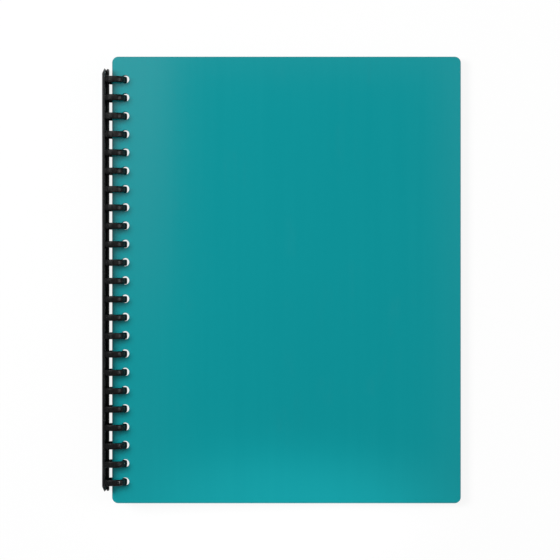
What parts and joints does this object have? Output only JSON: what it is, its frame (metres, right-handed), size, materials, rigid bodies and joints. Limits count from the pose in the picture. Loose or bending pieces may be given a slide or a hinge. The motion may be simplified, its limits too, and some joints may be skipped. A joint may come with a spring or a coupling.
{
  "type": "clear pocket display book",
  "caption": "Ring-bound display book with opaque plastic covers, welded clear pockets open at the head, and a ring comb closed by a hinged locking bar",
  "frame": {"origin": "on the table under the middle of the closed book", "axes": "+X from the spine to the opening edge, +Y towards the head of the book, +Z out of the front cover"},
  "size_m": [0.2482, 0.31, 0.0208],
  "materials": {
    "cover_plastic": "satin teal polypropylene sheet with a fine grain",
    "clear_film": "clear thin film with a slight haze",
    "spine_plastic": "black moulded plastic with a soft gloss"
  },
  "bodies": {
    "back_cover": {"back_cover": "cover_plastic"},
    "front_cover": {"front_cover": "cover_plastic"},
    "ring_spine": {"ring_comb": "spine_plastic"},
    "locking_bar": {"locking_bar": "spine_plastic"},
    "pocket_01": {"pocket_01_front_film": "clear_film", "pocket_01_back_film": "clear_film"},
    "pocket_02": {"pocket_02_front_film": "clear_film", "pocket_02_back_film": "clear_film"},
    "pocket_03": {"pocket_03_front_film": "clear_film", "pocket_03_back_film": "clear_film"},
    "pocket_04": {"pocket_04_front_film": "clear_film", "pocket_04_back_film": "clear_film"},
    "pocket_05": {"pocket_05_front_film": "clear_film", "pocket_05_back_film": "clear_film"},
    "pocket_06": {"pocket_06_front_film": "clear_film", "pocket_06_back_film": "clear_film"},
    "pocket_07": {"pocket_07_front_film": "clear_film", "pocket_07_back_film": "clear_film"},
    "pocket_08": {"pocket_08_front_film": "clear_film", "pocket_08_back_film": "clear_film"},
    "pocket_09": {"pocket_09_front_film": "clear_film", "pocket_09_back_film": "clear_film"},
    "pocket_10": {"pocket_10_front_film": "clear_film", "pocket_10_back_film": "clear_film"},
    "pocket_11": {"pocket_11_front_film": "clear_film", "pocket_11_back_film": "clear_film"},
    "pocket_12": {"pocket_12_front_film": "clear_film", "pocket_12_back_film": "clear_film"},
    "pocket_13": {"pocket_13_front_film": "clear_film", "pocket_13_back_film": "clear_film"},
    "pocket_14": {"pocket_14_front_film": "clear_film", "pocket_14_back_film": "clear_film"},
    "pocket_15": {"pocket_15_front_film": "clear_film", "pocket_15_back_film": "clear_film"},
    "pocket_16": {"pocket_16_front_film": "clear_film", "pocket_16_back_film": "clear_film"},
    "pocket_17": {"pocket_17_front_film": "clear_film", "pocket_17_back_film": "clear_film"},
    "pocket_18": {"pocket_18_front_film": "clear_film", "pocket_18_back_film": "clear_film"},
    "pocket_19": {"pocket_19_front_film": "clear_film", "pocket_19_back_film": "clear_film"},
    "pocket_20": {"pocket_20_front_film": "clear_film", "pocket_20_back_film": "clear_film"}
  },
  "joints": [
    {"name": "front_cover_open", "type": "hinge", "parent": "back_cover", "child": "front_cover", "pos_m": [-0.11811, 0, 0.0104], "axis": [0, -1, 0], "range_deg": [0, 182]},
    {"name": "spine_turn", "type": "hinge", "parent": "back_cover", "child": "ring_spine", "pos_m": [-0.11811, 0, 0.0104], "axis": [0, -1, 0], "range_deg": [0, 86]},
    {"name": "locking_bar_open", "type": "hinge", "parent": "ring_spine", "child": "locking_bar", "pos_m": [-0.12221, 0, 0.00216], "axis": [0, -1, 0], "range_deg": [0, 70]},
    {"name": "pocket_01_turn", "type": "hinge", "parent": "back_cover", "child": "pocket_01", "pos_m": [-0.11811, 0, 0.0104], "axis": [0, -1, 0], "range_deg": [0, 173.4]},
    {"name": "pocket_02_turn", "type": "hinge", "parent": "back_cover", "child": "pocket_02", "pos_m": [-0.11811, 0, 0.0104], "axis": [0, -1, 0], "range_deg": [0, 164.8]},
    {"name": "pocket_03_turn", "type": "hinge", "parent": "back_cover", "child": "pocket_03", "pos_m": [-0.11811, 0, 0.0104], "axis": [0, -1, 0], "range_deg": [0, 156.1]},
    {"name": "pocket_04_turn", "type": "hinge", "parent": "back_cover", "child": "pocket_04", "pos_m": [-0.11811, 0, 0.0104], "axis": [0, -1, 0], "range_deg": [0, 147.4]},
    {"name": "pocket_05_turn", "type": "hinge", "parent": "back_cover", "child": "pocket_05", "pos_m": [-0.11811, 0, 0.0104], "axis": [0, -1, 0], "range_deg": [0, 138.8]},
    {"name": "pocket_06_turn", "type": "hinge", "parent": "back_cover", "child": "pocket_06", "pos_m": [-0.11811, 0, 0.0104], "axis": [0, -1, 0], "range_deg": [0, 130.1]},
    {"name": "pocket_07_turn", "type": "hinge", "parent": "back_cover", "child": "pocket_07", "pos_m": [-0.11811, 0, 0.0104], "axis": [0, -1, 0], "range_deg": [0, 121.4]},
    {"name": "pocket_08_turn", "type": "hinge", "parent": "back_cover", "child": "pocket_08", "pos_m": [-0.11811, 0, 0.0104], "axis": [0, -1, 0], "range_deg": [0, 112.8]},
    {"name": "pocket_09_turn", "type": "hinge", "parent": "back_cover", "child": "pocket_09", "pos_m": [-0.11811, 0, 0.0104], "axis": [0, -1, 0], "range_deg": [0, 104.1]},
    {"name": "pocket_10_turn", "type": "hinge", "parent": "back_cover", "child": "pocket_10", "pos_m": [-0.11811, 0, 0.0104], "axis": [0, -1, 0], "range_deg": [0, 95.4]},
    {"name": "pocket_11_turn", "type": "hinge", "parent": "back_cover", "child": "pocket_11", "pos_m": [-0.11811, 0, 0.0104], "axis": [0, -1, 0], "range_deg": [0, 86.8]},
    {"name": "pocket_12_turn", "type": "hinge", "parent": "back_cover", "child": "pocket_12", "pos_m": [-0.11811, 0, 0.0104], "axis": [0, -1, 0], "range_deg": [0, 78.1]},
    {"name": "pocket_13_turn", "type": "hinge", "parent": "back_cover", "child": "pocket_13", "pos_m": [-0.11811, 0, 0.0104], "axis": [0, -1, 0], "range_deg": [0, 69.4]},
    {"name": "pocket_14_turn", "type": "hinge", "parent": "back_cover", "child": "pocket_14", "pos_m": [-0.11811, 0, 0.0104], "axis": [0, -1, 0], "range_deg": [0, 60.8]},
    {"name": "pocket_15_turn", "type": "hinge", "parent": "back_cover", "child": "pocket_15", "pos_m": [-0.11811, 0, 0.0104], "axis": [0, -1, 0], "range_deg": [0, 52.1]},
    {"name": "pocket_16_turn", "type": "hinge", "parent": "back_cover", "child": "pocket_16", "pos_m": [-0.11811, 0, 0.0104], "axis": [0, -1, 0], "range_deg": [0, 43.4]},
    {"name": "pocket_17_turn", "type": "hinge", "parent": "back_cover", "child": "pocket_17", "pos_m": [-0.11811, 0, 0.0104], "axis": [0, -1, 0], "range_deg": [0, 34.8]},
    {"name": "pocket_18_turn", "type": "hinge", "parent": "back_cover", "child": "pocket_18", "pos_m": [-0.11811, 0, 0.0104], "axis": [0, -1, 0], "range_deg": [0, 26.1]},
    {"name": "pocket_19_turn", "type": "hinge", "parent": "back_cover", "child": "pocket_19", "pos_m": [-0.11811, 0, 0.0104], "axis": [0, -1, 0], "range_deg": [0, 17.4]},
    {"name": "pocket_20_turn", "type": "hinge", "parent": "back_cover", "child": "pocket_20", "pos_m": [-0.11811, 0, 0.0104], "axis": [0, -1, 0], "range_deg": [0, 8.8]}
  ],
  "couplings": [
    {"joint": "spine_turn", "follows": "front_cover_open", "ratio": 0.4725},
    {"joint": "pocket_01_turn", "follows": "front_cover_open", "ratio": 0.95238},
    {"joint": "pocket_02_turn", "follows": "front_cover_open", "ratio": 0.90476},
    {"joint": "pocket_03_turn", "follows": "front_cover_open", "ratio": 0.85714},
    {"joint": "pocket_04_turn", "follows": "front_cover_open", "ratio": 0.80952},
    {"joint": "pocket_05_turn", "follows": "front_cover_open", "ratio": 0.76191},
    {"joint": "pocket_06_turn", "follows": "front_cover_open", "ratio": 0.71429},
    {"joint": "pocket_07_turn", "follows": "front_cover_open", "ratio": 0.66667},
    {"joint": "pocket_08_turn", "follows": "front_cover_open", "ratio": 0.61905},
    {"joint": "pocket_09_turn", "follows": "front_cover_open", "ratio": 0.57143},
    {"joint": "pocket_10_turn", "follows": "front_cover_open", "ratio": 0.52381},
    {"joint": "pocket_11_turn", "follows": "front_cover_open", "ratio": 0.47619},
    {"joint": "pocket_12_turn", "follows": "front_cover_open", "ratio": 0.42857},
    {"joint": "pocket_13_turn", "follows": "front_cover_open", "ratio": 0.38095},
    {"joint": "pocket_14_turn", "follows": "front_cover_open", "ratio": 0.33333},
    {"joint": "pocket_15_turn", "follows": "front_cover_open", "ratio": 0.28571},
    {"joint": "pocket_16_turn", "follows": "front_cover_open", "ratio": 0.2381},
    {"joint": "pocket_17_turn", "follows": "front_cover_open", "ratio": 0.19048},
    {"joint": "pocket_18_turn", "follows": "front_cover_open", "ratio": 0.14286},
    {"joint": "pocket_19_turn", "follows": "front_cover_open", "ratio": 0.095238},
    {"joint": "pocket_20_turn", "follows": "front_cover_open", "ratio": 0.047619}
  ]
}
